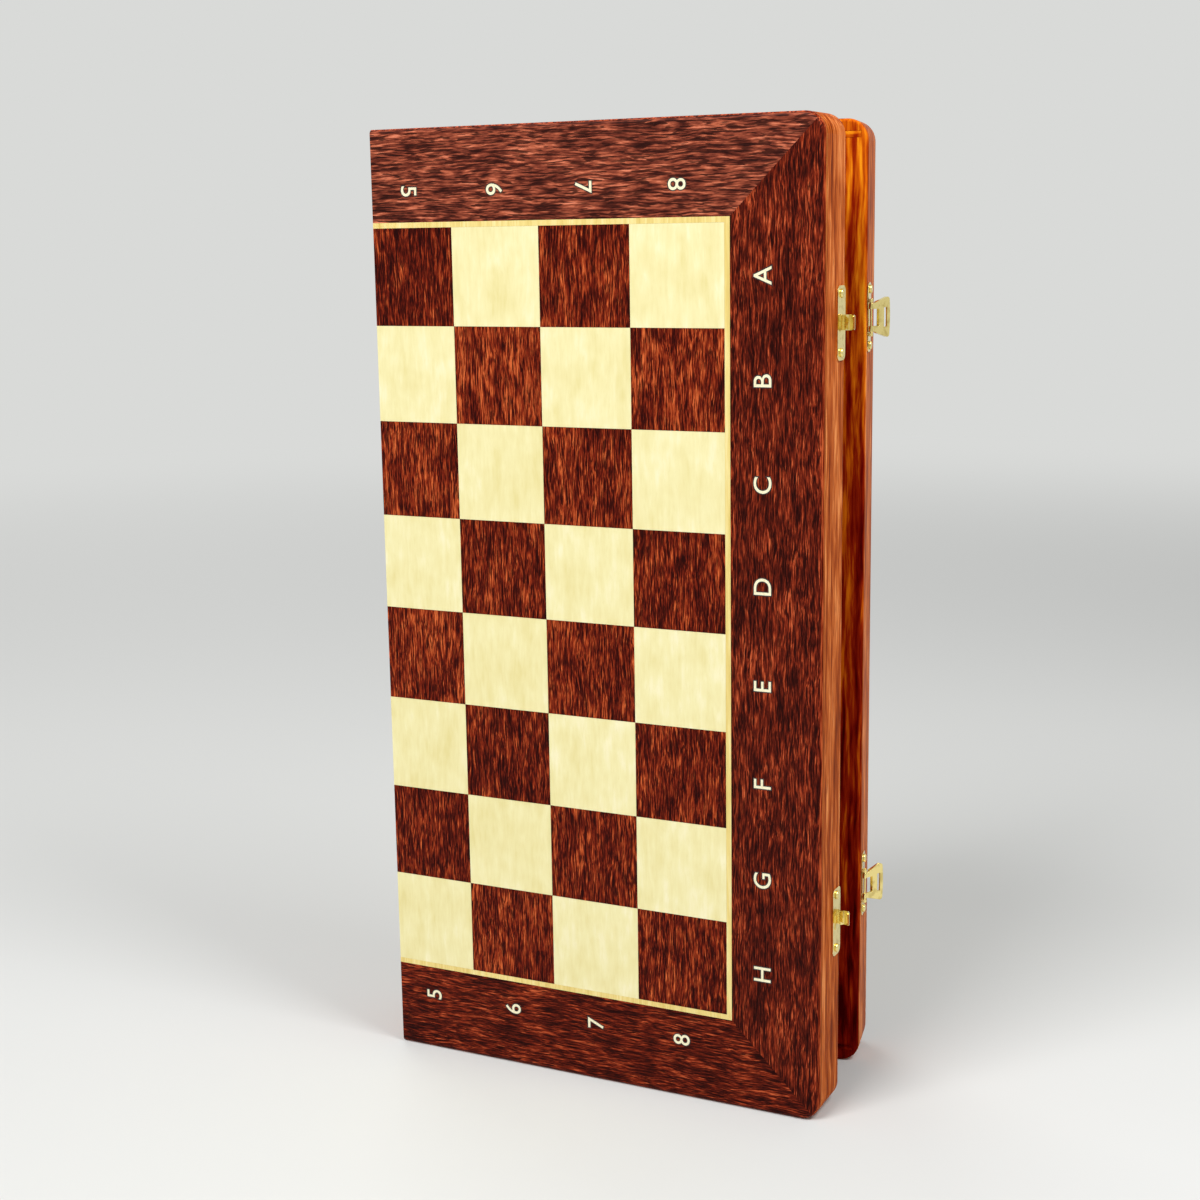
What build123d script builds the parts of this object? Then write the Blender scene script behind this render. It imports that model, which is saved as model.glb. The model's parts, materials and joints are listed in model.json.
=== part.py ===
from build123d import *
from math import cos, radians, sin
import os

# A folding wooden chess case, standing on one end with its two halves ajar.
# Row frame: +Z up the case's length, -Y out of the front half's playing face,
# +X towards the clasp side. Origin: middle of the front half's lower end. Millimetres.

# ---- Playing face -------------------------------------------------------------
square = 40.0
rows = 8
columns = 4
border_width = 40.0
seam_loss = 2.5
line_width = 2.2
veneer_thickness = 0.6
veneer_joint = 0.04

# ---- Wooden half --------------------------------------------------------------
half_depth = 24.5
panel_thickness = 2.6
side_rail_thickness = 10.4
end_rail_thickness = 7.5
tongue_thickness = 2.5
tongue_cover = 3.0
joint_clearance = 0.05
corner_radius = 8.5
face_roundover = 2.0
rim_roundover = 1.4

# ---- How the halves stand to each other -----------------------------------------
closing_gap = 0.3
ajar_angle = 10.9

# ---- Butt hinges in the spine -----------------------------------------------------
hinge_inset = 80.0
leaf_length = 32.0
leaf_width = 14.0
leaf_thickness = 1.0
leaf_clearance = 0.1
barrel_radius = 2.2
barrel_clearance = 0.3
knuckle_count = 5
knuckle_gap = 0.2
hinge_pin_radius = 1.0
running_clearance = 0.05
hinge_screw_spread = 22.0
hinge_screw_radius = 0.9
hinge_screw_length = 6.5
hinge_screw_head_radius = 1.8
hinge_screw_recess = 0.05

# ---- Clasps on the clasp side -----------------------------------------------------
upper_clasp_inset = 78.6
lower_clasp_inset = 80.1
plate_thickness = 0.6
plate_corner = 2.4
plate_edge = 1.2
catch_plate_length = 28.5
catch_plate_width = 8.8
hook_width = 6.0
hook_thickness = 0.7
lip_clearance = 1.25
hook_throat = 0.2
hook_root = 1.5
hook_corner = 1.8
hook_emboss = 0.25
hasp_plate_length = 28.0
hasp_plate_width = 8.0
hasp_axis_depth = 1.9
hasp_axis_height = 1.5
hasp_notch_clearance = 0.4
nail_spread = 22.6
nail_radius = 0.7
nail_length = 6.0
nail_head_radius = 1.8
nail_head_height = 1.0
nail_clearance = 0.03

# ---- Hasp flap, a flared frame that swings over the hook ----------------------------
flap_length = 10.5
flap_root = 1.5
flap_root_height = 11.6
flap_tip_height = 17.0
flap_tip_bow = 0.4
flap_thickness = 0.8
flap_rim_start = 3.0
flap_rim_height = 0.9
flap_rim_width = 0.8
flap_tip_corner = 1.2
flap_barrel_radius = 0.9
hook_window_end = 4.3
hook_window_height = 6.8
hook_catch = 0.5
bar_width = 1.7
bar_rise = 1.0
bar_roundover = 0.5
grip_window_start = 7.1
grip_window_end = 8.8
grip_window_height = 7.8
lug_gap = 0.2
lug_thickness = 1.5
hasp_pin_radius = 0.45
upper_flap_opening = 142.0
lower_flap_opening = 141.0

# ---- Sizes that follow ----------------------------------------------------------------
case_length = rows * square + 2 * border_width
grid_width = columns * square - seam_loss
half_width = grid_width + border_width
veneer_level = half_depth - veneer_thickness
panel_level = veneer_level - panel_thickness
line_level = border_width - line_width
bar_height = hasp_axis_height + flap_thickness / 2 + bar_rise
hook_height = bar_height + lip_clearance + hook_thickness / 2
catch_nail_depth = plate_edge + catch_plate_width / 2
hasp_nail_depth = plate_edge + hasp_plate_width / 2
front_clasps = (lower_clasp_inset, case_length - upper_clasp_inset)
back_clasps = (upper_clasp_inset, case_length - lower_clasp_inset)
LOW = (Align.MIN, Align.MIN)


def half_frame(origin, turn, flipped):
    """Frame of a half: x to the clasp side, y along the length, z to the playing face."""
    side = -1 if flipped else 1
    x_dir = (cos(radians(turn)), sin(radians(turn)), 0)
    z_dir = (side * sin(radians(turn)), -side * cos(radians(turn)), 0)
    return Plane(origin=origin, x_dir=x_dir, z_dir=z_dir)


def back_origin(turn):
    """Corner of the back half that lies on the hinge, with the gap shared about the axis."""
    out_x = cos(radians(turn)) - sin(radians(turn))
    out_y = sin(radians(turn)) + cos(radians(turn))
    axis_x = -(half_width + closing_gap) / 2
    axis_y = (half_depth + closing_gap) / 2
    return (axis_x + closing_gap / 2 * out_x, axis_y + closing_gap / 2 * out_y, case_length)


front_frame = half_frame((-half_width / 2, half_depth / 2, 0), 0, False)
back_frame = half_frame(back_origin(ajar_angle), ajar_angle, True)
axis_offset = -closing_gap / 2


def place(frame, across, along, depth):
    """Point of a half in the row frame."""
    return frame.from_local_coords(Vector(across, along, depth))


def side_plane(frame, across):
    """Plane facing the clasp side: its x runs along the length and its y to the playing face."""
    return Plane(origin=place(frame, across, 0, 0), x_dir=frame.y_dir, z_dir=frame.x_dir)


def section_plane(frame, along):
    """Plane square to the length: its x runs to the playing face and its y to the clasp side."""
    return Plane(origin=place(frame, 0, along, 0), x_dir=frame.z_dir, z_dir=frame.y_dir)


def save(piece, name):
    """Label a finished piece and write it."""
    piece.part.label = name
    export_step(piece.part, "parts/" + name + ".step")


# ---- Wooden rails ------------------------------------------------------------------------
def outline(frame):
    """Plan of a half: square at the seam, rounded at the clasp side."""
    with BuildSketch(frame) as plan:
        Rectangle(half_width, case_length, align=LOW)
        fillet(plan.vertices().group_by(Axis.X)[-1], corner_radius)
    return plan.sketch


def outer_edges(face, frame):
    """Edges round a face of the half, without the one on the seam."""
    return face.edges().sort_by(Axis(frame.origin, frame.x_dir))[1:]


def rim_blank(frame, body):
    """Rounded frame of a half before it is parted into rails."""
    extrude(outline(frame), amount=panel_level)
    mating_face = body.faces().sort_by(Axis(frame.origin, frame.z_dir))[0]
    fillet(outer_edges(mating_face, frame), rim_roundover)


def nail_places(clasps, depth):
    """Nails of a half's clasp plates: place along the length and depth from the mating face."""
    places = []
    for along in clasps:
        places.append((along - nail_spread / 2, depth))
        places.append((along + nail_spread / 2, depth))
    return places


def nail_holes(frame, clasps, depth):
    """Holes for the nails of both clasp plates of a half."""
    with BuildSketch(side_plane(frame, half_width)) as holes:
        with Locations(*nail_places(clasps, depth)):
            Circle(nail_radius + nail_clearance)
    extrude(holes.sketch, amount=-nail_length, mode=Mode.SUBTRACT)


def tongue_slots(frame, across):
    """Slots near a side rail's two ends for the tongues of the end rails."""
    width = side_rail_thickness - tongue_cover + joint_clearance
    height = tongue_thickness + 2 * joint_clearance
    low = end_rail_thickness - tongue_thickness - joint_clearance
    high = case_length - end_rail_thickness - joint_clearance
    with BuildSketch(frame) as slots:
        with Locations((across, low), (across, high)):
            Rectangle(width, height, align=LOW)
    extrude(slots.sketch, amount=panel_level, mode=Mode.SUBTRACT)


def clasp_rail(frame, name, clasps, nail_depth):
    """Rail on the clasp side, through to both rounded corners."""
    with BuildPart() as rail:
        rim_blank(frame, rail)
        with BuildSketch(frame):
            with Locations((half_width - side_rail_thickness, 0)):
                Rectangle(side_rail_thickness, case_length, align=LOW)
        extrude(amount=panel_level, mode=Mode.INTERSECT)
        tongue_slots(frame, half_width - side_rail_thickness)
        nail_holes(frame, clasps, nail_depth)
    save(rail, name)


def hinge_places():
    """Middles of the two hinges along the length."""
    return (hinge_inset, case_length - hinge_inset)


def hinge_rail(frame, name):
    """Rail on the spine, let in for the hinge leaves and hollowed for their barrels."""
    with BuildPart() as rail:
        with BuildSketch(frame):
            Rectangle(side_rail_thickness, case_length, align=LOW)
        extrude(amount=panel_level)
        tongue_slots(frame, tongue_cover - joint_clearance)
        with BuildSketch(side_plane(frame, 0)):
            for along in hinge_places():
                with Locations((along, 0)):
                    Rectangle(
                        leaf_length + 2 * leaf_clearance,
                        leaf_width + leaf_clearance,
                        align=(Align.CENTER, Align.MIN),
                    )
        extrude(amount=leaf_thickness, mode=Mode.SUBTRACT)
        for along in hinge_places():
            start = along - leaf_length / 2 - leaf_clearance
            with BuildSketch(section_plane(frame, start)):
                with Locations((axis_offset, axis_offset)):
                    Circle(barrel_radius + barrel_clearance)
            extrude(amount=leaf_length + 2 * leaf_clearance, mode=Mode.SUBTRACT)
        with BuildSketch(side_plane(frame, 0)):
            with Locations(*hinge_screw_places()):
                Circle(hinge_screw_radius + nail_clearance)
        extrude(amount=hinge_screw_recess + hinge_screw_length, mode=Mode.SUBTRACT)
    save(rail, name)


def end_rail(frame, name, far):
    """Rail at an end, with a tongue into each side rail. The far one is at the length's end."""
    start = case_length - end_rail_thickness if far else 0
    tongue_start = start if far else end_rail_thickness - tongue_thickness
    inner_width = half_width - 2 * side_rail_thickness
    with BuildPart() as rail:
        rim_blank(frame, rail)
        with BuildSketch(frame):
            with Locations((side_rail_thickness, start)):
                Rectangle(inner_width, end_rail_thickness, align=LOW)
            with Locations((tongue_cover, tongue_start)):
                Rectangle(half_width - 2 * tongue_cover, tongue_thickness, align=LOW)
        extrude(amount=panel_level, mode=Mode.INTERSECT)
    save(rail, name)


# ---- Panel and veneers -----------------------------------------------------------------------
def face_blank(frame, body):
    """Panel and veneer in one, rounded over along the outer edge of the playing face."""
    extrude(outline(frame.offset(panel_level)), amount=panel_thickness + veneer_thickness)
    playing_face = body.faces().sort_by(Axis(frame.origin, frame.z_dir))[-1]
    fillet(outer_edges(playing_face, frame), face_roundover)


def panel(frame, name):
    """Thin board that closes the half and carries the veneers."""
    with BuildPart() as board:
        face_blank(frame, board)
        with BuildSketch(frame.offset(panel_level)):
            Rectangle(half_width, case_length, align=LOW)
        extrude(amount=panel_thickness, mode=Mode.INTERSECT)
    save(board, name)


def border_strip(frame, name, corners):
    """One veneer strip of the mitred border, given by the corners of its plan."""
    with BuildPart() as strip:
        face_blank(frame, strip)
        with BuildSketch(frame.offset(veneer_level)):
            with BuildLine():
                Polyline(*corners, close=True)
            make_face()
        extrude(amount=veneer_thickness, mode=Mode.INTERSECT)
    save(strip, name)


def borders(frame, near_name, far_name, side_name):
    """Border strips at both ends and on the clasp side, with joints a hair apart."""
    inner = grid_width + line_width + veneer_joint
    low = line_level - veneer_joint
    high = case_length - low
    hair = veneer_joint
    near = [(0, 0), (half_width - hair, 0), (inner - hair, low), (0, low)]
    far = [(0, case_length), (half_width - hair, case_length), (inner - hair, high), (0, high)]
    side = [(half_width, 0), (half_width, case_length), (inner, high), (inner, low)]
    border_strip(frame, near_name, near)
    border_strip(frame, far_name, far)
    border_strip(frame, side_name, side)


def stringing(frame, name):
    """Pale line round the squares on the three sides away from the seam."""
    outer = grid_width + line_width
    high = case_length - border_width
    points = [
        (0, line_level),
        (outer, line_level),
        (outer, high + line_width),
        (0, high + line_width),
        (0, high),
        (grid_width, high),
        (grid_width, border_width),
        (0, border_width),
    ]
    with BuildPart() as line:
        with BuildSketch(frame.offset(veneer_level)):
            with BuildLine():
                Polyline(*points, close=True)
            make_face()
        extrude(amount=veneer_thickness)
    save(line, name)


def squares(frame, name, parity):
    """Every second veneer square. The column at the seam is narrower by the saw's loss."""
    with BuildPart() as field:
        with BuildSketch(frame.offset(veneer_level)):
            for column in range(columns):
                left = max(column * square - seam_loss, 0)
                right = (column + 1) * square - seam_loss
                for row in range(rows):
                    if (column + row) % 2 == parity:
                        low = border_width + row * square
                        with Locations((left + veneer_joint, low + veneer_joint)):
                            Rectangle(
                                right - left - 2 * veneer_joint,
                                square - 2 * veneer_joint,
                                align=LOW,
                            )
        extrude(amount=veneer_thickness)
    save(field, name)


# ---- Butt hinges -------------------------------------------------------------------------------
def knuckle_spans(along, owned):
    """Start and length of a leaf's own knuckles, or of its partner's."""
    pitch = leaf_length / knuckle_count
    spans = []
    for index in range(knuckle_count):
        if (index % 2 == 0) == owned:
            spans.append((along - leaf_length / 2 + index * pitch, pitch))
    return spans


def hinge_screw_places():
    """Screws of both leaves of a half: place along the length and depth from the mating face."""
    depth = (barrel_radius + leaf_width) / 2
    places = []
    for along in hinge_places():
        places.append((along - hinge_screw_spread / 2, depth))
        places.append((along + hinge_screw_spread / 2, depth))
    return places


def hinge_leaf(frame, name, along, outer):
    """Leaf let into the spine, with its knuckles rolled about the hinge axis."""
    with BuildPart() as leaf:
        with BuildSketch(side_plane(frame, 0)):
            with Locations((along, axis_offset)):
                Rectangle(leaf_length, leaf_width - axis_offset, align=(Align.CENTER, Align.MIN))
        extrude(amount=leaf_thickness)
        for start, length in knuckle_spans(along, not outer):
            with BuildSketch(section_plane(frame, start - knuckle_gap / 2)):
                with Locations((axis_offset, axis_offset)):
                    Circle(barrel_radius + barrel_clearance)
            extrude(amount=length + knuckle_gap, mode=Mode.SUBTRACT)
        for start, length in knuckle_spans(along, outer):
            with BuildSketch(section_plane(frame, start + knuckle_gap / 2)):
                with Locations((axis_offset, axis_offset)):
                    Circle(barrel_radius)
            extrude(amount=length - knuckle_gap)
        with BuildSketch(section_plane(frame, along - leaf_length / 2)):
            with Locations((axis_offset, axis_offset)):
                Circle(hinge_pin_radius + running_clearance)
        extrude(amount=leaf_length, mode=Mode.SUBTRACT)
        with BuildSketch(side_plane(frame, 0)):
            with Locations(*hinge_screw_places()):
                Circle(hinge_screw_head_radius + nail_clearance + hinge_screw_recess)
        extrude(amount=leaf_thickness, taper=45, mode=Mode.SUBTRACT)
    save(leaf, name)


def hinge_pin(name, height):
    """Wire pin through the knuckles of one hinge."""
    axis_x = -(half_width + closing_gap) / 2
    axis_y = (half_depth + closing_gap) / 2
    with BuildPart() as pin:
        with BuildSketch(Plane(origin=(axis_x, axis_y, height - leaf_length / 2))):
            Circle(hinge_pin_radius)
        extrude(amount=leaf_length)
        chamfer(pin.edges(), hinge_pin_radius / 4)
    save(pin, name)


def hinge_screws(frame, name):
    """Countersunk screws of both leaves of a half."""
    head_height = hinge_screw_head_radius - hinge_screw_radius
    with BuildPart() as screws:
        with BuildSketch(side_plane(frame, hinge_screw_recess)):
            with Locations(*hinge_screw_places()):
                Circle(hinge_screw_head_radius)
        extrude(amount=head_height, taper=45)
        with BuildSketch(side_plane(frame, hinge_screw_recess)):
            with Locations(*hinge_screw_places()):
                Circle(hinge_screw_radius)
        extrude(amount=hinge_screw_length)
    save(screws, name)


# ---- Clasps ----------------------------------------------------------------------------------------
def clasp_plate(frame, along, length, width):
    """Stamped plate on the clasp side, with two nail holes."""
    depth = plate_edge + width / 2
    with BuildSketch(side_plane(frame, half_width)) as plate:
        with Locations((along, depth)):
            RectangleRounded(length, width, plate_corner)
        with Locations((along - nail_spread / 2, depth), (along + nail_spread / 2, depth)):
            Circle(nail_radius + nail_clearance, mode=Mode.SUBTRACT)
    extrude(plate.sketch, amount=plate_thickness)


def catch(frame, name, along):
    """Catch plate whose raised tongue is bent out at the mating edge and back into a hook."""
    strip = half_width + plate_thickness + hook_emboss - hook_thickness / 2
    strip_end = (plate_edge + catch_plate_width - plate_corner, strip)
    root = (hook_root, strip)
    throat = (hook_throat, half_width + hasp_axis_height)
    lip_reach = hook_window_end - hasp_axis_depth - closing_gap + hook_catch
    lip = (lip_reach, half_width + hook_height)
    crown_bulge = hook_thickness / 2
    crown = (
        (throat[0] + lip[0]) / 2 - 2 * crown_bulge,
        (throat[1] + lip[1]) / 2 + 2 * crown_bulge,
    )
    mating_edge = Plane(origin=place(frame, half_width, along, 0), x_dir=frame.y_dir, z_dir=-frame.z_dir)
    rounded_height = 2 * (hook_height + hook_thickness)
    rounded_reach = 2 * lip_reach + hook_thickness
    with BuildPart() as piece:
        with BuildSketch(section_plane(frame, along - hook_width / 2)):
            with BuildLine():
                Polyline(strip_end, root, throat)
                ThreePointArc(throat, crown, lip)
            trace(line_width=hook_thickness)
        extrude(amount=hook_width)
        with BuildSketch(mating_edge):
            RectangleRounded(hook_width, rounded_height, hook_corner)
        extrude(amount=rounded_reach, both=True, mode=Mode.INTERSECT)
        with BuildSketch(side_plane(frame, half_width)):
            with Locations((along, 0)):
                RectangleRounded(hook_width, rounded_reach, hook_corner)
        extrude(amount=rounded_height, mode=Mode.INTERSECT)
        with BuildSketch(section_plane(frame, along - hook_width / 2)):
            with BuildLine():
                Polyline(strip_end, root)
            trace(line_width=hook_thickness)
        extrude(amount=hook_width)
        clasp_plate(frame, along, catch_plate_length, catch_plate_width)
    save(piece, name)


def hasp_plate(frame, name, along):
    """Hasp plate with a notch for the hook and two lugs that carry the flap's pin."""
    lug_start = flap_root_height / 2 + lug_gap
    notch_depth = hasp_axis_depth + flap_barrel_radius + hasp_notch_clearance - plate_edge
    foot = half_width + plate_thickness / 2
    with BuildPart() as piece:
        clasp_plate(frame, along, hasp_plate_length, hasp_plate_width)
        with BuildSketch(side_plane(frame, half_width)):
            with Locations((along, plate_edge)):
                Rectangle(flap_root_height, notch_depth, align=(Align.CENTER, Align.MIN))
        extrude(amount=plate_thickness, mode=Mode.SUBTRACT)
        for start in (along - lug_start - lug_thickness, along + lug_start):
            with BuildSketch(section_plane(frame, start)):
                with Locations((hasp_axis_depth, half_width + hasp_axis_height)):
                    Circle(flap_barrel_radius)
                with Locations((hasp_axis_depth, foot)):
                    Rectangle(
                        2 * flap_barrel_radius,
                        hasp_axis_height - plate_thickness / 2,
                        align=(Align.CENTER, Align.MIN),
                    )
                with Locations((hasp_axis_depth, half_width + hasp_axis_height)):
                    Circle(hasp_pin_radius + running_clearance, mode=Mode.SUBTRACT)
            extrude(amount=lug_thickness)
    save(piece, name)


def hasp_pin(frame, name, along):
    """Wire pin through the lugs and the flap's barrel."""
    length = flap_root_height + 2 * (lug_gap + lug_thickness)
    with BuildPart() as pin:
        with BuildSketch(section_plane(frame, along - length / 2)):
            with Locations((hasp_axis_depth, half_width + hasp_axis_height)):
                Circle(hasp_pin_radius)
        extrude(amount=length)
    save(pin, name)


def flap_plane(frame, along, opening):
    """Plane of a flap swung open: its x along the length and its y away from the pin."""
    origin = place(frame, half_width + hasp_axis_height, along, hasp_axis_depth)
    out = frame.x_dir * cos(radians(opening)) + frame.z_dir * sin(radians(opening))
    return Plane(origin=origin, x_dir=frame.y_dir * -1, z_dir=out)


def flap_outline(plane, inset):
    """Outline of a flap, its flared sides and bowed tip drawn in by an inset."""
    root = flap_root_height / 2 - inset
    tip = flap_tip_height / 2 - inset
    end = flap_length - inset
    shoulder = end - flap_tip_bow
    with BuildSketch(plane) as shape:
        with BuildLine():
            Polyline((-tip, shoulder), (-root, flap_root), (root, flap_root), (tip, shoulder))
            ThreePointArc((tip, shoulder), (0, end), (-tip, shoulder))
        make_face()
        fillet(shape.vertices().group_by(Axis.Y)[-1], flap_tip_corner)
    return shape.sketch


def flap_windows(plane):
    """Window for the hook, open to the pin, and the grip window past the bar."""
    with BuildSketch(plane) as windows:
        with Locations((0, -flap_barrel_radius)):
            Rectangle(
                hook_window_height,
                flap_barrel_radius + hook_window_end,
                align=(Align.CENTER, Align.MIN),
            )
        with Locations((0, grip_window_start)):
            Rectangle(
                grip_window_height,
                grip_window_end - grip_window_start,
                align=(Align.CENTER, Align.MIN),
            )
    return windows.sketch


def flap_bar(plane):
    """Plan of the raised bar that the hook's lip holds down."""
    with BuildSketch(plane) as bar:
        with Locations((0, hook_window_end)):
            Rectangle(grip_window_height, bar_width, align=(Align.CENTER, Align.MIN))
    return bar.sketch


def hasp_flap(frame, name, along, opening):
    """Flared frame on two knuckles, with its edge turned up and a raised bar behind the hook."""
    plane = flap_plane(frame, along, opening)
    upper = plane.offset(flap_thickness / 2)
    with BuildPart() as flap:
        extrude(flap_outline(upper, 0), amount=flap_rim_height)
        extrude(flap_outline(upper, flap_rim_width), amount=flap_rim_height, mode=Mode.SUBTRACT)
        with BuildSketch(upper):
            Rectangle(flap_tip_height, flap_rim_start, align=(Align.CENTER, Align.MIN))
        extrude(amount=flap_rim_height, mode=Mode.SUBTRACT)
        extrude(flap_outline(plane, 0), amount=flap_thickness / 2, both=True)
        with BuildSketch(plane):
            Rectangle(flap_root_height, flap_root, align=(Align.CENTER, Align.MIN))
        extrude(amount=flap_thickness / 2, both=True)
        with BuildSketch(section_plane(frame, along - flap_root_height / 2)):
            with Locations((hasp_axis_depth, half_width + hasp_axis_height)):
                Circle(flap_barrel_radius)
        extrude(amount=flap_root_height)
        extrude(flap_windows(plane), amount=flap_barrel_radius, both=True, mode=Mode.SUBTRACT)
        with BuildSketch(section_plane(frame, along - flap_root_height / 2)):
            with Locations((hasp_axis_depth, half_width + hasp_axis_height)):
                Circle(hasp_pin_radius + running_clearance)
        extrude(amount=flap_root_height, mode=Mode.SUBTRACT)
        extrude(flap_bar(upper), amount=bar_rise)
        bar_top = flap.faces().sort_by(Axis(upper.origin, upper.z_dir))[-1]
        fillet(bar_top.edges(), bar_roundover)
    save(flap, name)


def nails(frame, name, clasps, depth):
    """Round-headed nails of both clasp plates of a half."""
    with BuildPart() as group:
        with BuildSketch(side_plane(frame, half_width + plate_thickness)):
            with Locations(*nail_places(clasps, depth)):
                Circle(nail_head_radius)
        extrude(amount=nail_head_height)
        crown = group.edges().group_by(Axis(frame.origin, frame.x_dir))[-1]
        fillet(crown, nail_head_height * 0.8)
        with BuildSketch(side_plane(frame, half_width + plate_thickness)):
            with Locations(*nail_places(clasps, depth)):
                Circle(nail_radius)
        extrude(amount=-nail_length)
    save(group, name)


# ---- Assembly ------------------------------------------------------------------------------------------
def wooden_half(frame, side, near, far, clasps, nail_depth):
    """All wooden pieces of a half. Near and far name the two ends, in the order of its length."""
    clasp_rail(frame, side + "_clasp_rail", clasps, nail_depth)
    hinge_rail(frame, side + "_hinge_rail")
    end_rail(frame, side + "_" + near + "_rail", False)
    end_rail(frame, side + "_" + far + "_rail", True)
    panel(frame, side + "_panel")
    borders(frame, side + "_" + near + "_border", side + "_" + far + "_border", side + "_side_border")
    stringing(frame, side + "_stringing")
    squares(frame, side + "_dark_squares", 1)
    squares(frame, side + "_light_squares", 0)


os.makedirs("parts", exist_ok=True)
wooden_half(front_frame, "front", "bottom", "top", front_clasps, catch_nail_depth)
wooden_half(back_frame, "back", "top", "bottom", back_clasps, hasp_nail_depth)

# The front half's length runs up and the back half's runs down, so upper and lower swap.
low = hinge_inset
high = case_length - hinge_inset
hinge_leaf(front_frame, "upper_hinge_front_leaf", high, True)
hinge_leaf(front_frame, "lower_hinge_front_leaf", low, True)
hinge_leaf(back_frame, "upper_hinge_back_leaf", low, False)
hinge_leaf(back_frame, "lower_hinge_back_leaf", high, False)
hinge_pin("upper_hinge_pin", high)
hinge_pin("lower_hinge_pin", low)
hinge_screws(front_frame, "front_hinge_screws")
hinge_screws(back_frame, "back_hinge_screws")

catch(front_frame, "lower_catch", front_clasps[0])
catch(front_frame, "upper_catch", front_clasps[1])
nails(front_frame, "catch_nails", front_clasps, catch_nail_depth)
hasp_plate(back_frame, "upper_hasp_plate", back_clasps[0])
hasp_plate(back_frame, "lower_hasp_plate", back_clasps[1])
hasp_pin(back_frame, "upper_hasp_pin", back_clasps[0])
hasp_pin(back_frame, "lower_hasp_pin", back_clasps[1])
hasp_flap(back_frame, "upper_hasp_flap", back_clasps[0], upper_flap_opening)
hasp_flap(back_frame, "lower_hasp_flap", back_clasps[1], lower_flap_opening)
nails(back_frame, "hasp_nails", back_clasps, hasp_nail_depth)
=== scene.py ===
"""Looks of a folding wooden chess case that stands on one end with its halves ajar.

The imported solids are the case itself. This script gives them their veneers, stain and
brass, prints the board's letters and digits, and sets a plain studio round them.
"""

import json
import logging
import math
from dataclasses import dataclass, field, replace
from enum import Enum
from typing import Any

import bpy
from mathutils import Matrix, Vector


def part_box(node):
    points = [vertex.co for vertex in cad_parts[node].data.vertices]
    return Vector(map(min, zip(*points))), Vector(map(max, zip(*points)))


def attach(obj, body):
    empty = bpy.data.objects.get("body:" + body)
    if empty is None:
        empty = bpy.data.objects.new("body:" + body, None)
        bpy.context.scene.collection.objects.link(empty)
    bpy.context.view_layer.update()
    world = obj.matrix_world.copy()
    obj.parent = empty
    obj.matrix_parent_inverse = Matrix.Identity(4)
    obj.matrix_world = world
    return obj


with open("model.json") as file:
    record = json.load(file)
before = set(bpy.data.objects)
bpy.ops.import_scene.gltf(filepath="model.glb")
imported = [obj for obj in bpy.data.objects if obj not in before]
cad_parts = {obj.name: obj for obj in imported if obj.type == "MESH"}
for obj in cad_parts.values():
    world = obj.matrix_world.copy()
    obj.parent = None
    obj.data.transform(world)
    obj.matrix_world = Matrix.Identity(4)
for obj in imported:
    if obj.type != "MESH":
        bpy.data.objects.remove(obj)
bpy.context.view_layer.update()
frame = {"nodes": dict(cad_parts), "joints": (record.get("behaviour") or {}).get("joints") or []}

MM = 0.001
NOISE_MEAN = 0.5
NOISE_ROUGHNESS = 0.6
SWAY_SLENDERNESS = 3  # length of a sway of the grain over its width
VARNISH_IOR = 1.5
CAPITAL_SHARE = 0.7  # height of a capital as a share of its font's size
log = logging.getLogger("chess_case")


def linear(hex_colour: str) -> tuple[float, float, float, float]:
    """Turn an sRGB hex colour into the linear colour that a shader takes.

    Args:
        hex_colour: Six hex digits after a hash sign.

    Returns:
        Linear red, green and blue, with an alpha of 1.
    """
    # sRGB's own curve has a straight foot and a power of 2.4 above it.
    channels = [int(hex_colour[i : i + 2], 16) / 255 for i in (1, 3, 5)]
    bent = [c / 12.92 if c <= 0.04045 else ((c + 0.055) / 1.055) ** 2.4 for c in channels]
    return (bent[0], bent[1], bent[2], 1.0)


def add_node(
    tree: bpy.types.NodeTree,
    kind: str,
    inputs: dict[str | int, Any] | None = None,
    **settings: Any,
) -> bpy.types.Node:
    """Add one node, set its properties, and fill or link its inputs.

    Args:
        tree: Tree that takes the node.
        kind: Type name of the node.
        inputs: Value for each input, by name or number. A node or socket is linked.
        settings: Properties of the node, set before its inputs.

    Returns:
        The new node.
    """
    node = tree.nodes.new(kind)
    for name, value in settings.items():
        setattr(node, name, value)
    for key, value in (inputs or {}).items():
        if isinstance(key, int):
            socket = node.inputs[key]
        else:
            socket = next(s for s in node.inputs if s.name == key and s.enabled)
        if isinstance(value, bpy.types.Node):
            value = next(s for s in value.outputs if s.enabled)
        if isinstance(value, bpy.types.NodeSocket):
            tree.links.new(value, socket)
        else:
            socket.default_value = value
    return node


def blank_material(name: str) -> bpy.types.Material:
    """Make a material with an empty node tree.

    Args:
        name: Name of the material.

    Returns:
        The material.
    """
    made = bpy.data.materials.new(name)
    made.use_nodes = True
    made.node_tree.nodes.clear()
    return made


def add_object(name: str, data: bpy.types.ID) -> bpy.types.Object:
    """Make an object and link it to the scene.

    Args:
        name: Name of the object.
        data: Its mesh, text, light or camera.

    Returns:
        The object.
    """
    made = bpy.data.objects.new(name, data)
    bpy.context.scene.collection.objects.link(made)
    return made


class Side(Enum):
    """Which wooden half a piece belongs to."""

    FRONT = "front"
    BACK = "back"


class Grain(Enum):
    """Which way the grain of a piece runs on its half."""

    ALONG = "along"
    ACROSS = "across"


class Detail(Enum):
    """How many finer layers a noise has."""

    SOFT = 1.0
    PLAIN = 2.0
    FINE = 3.0


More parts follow.
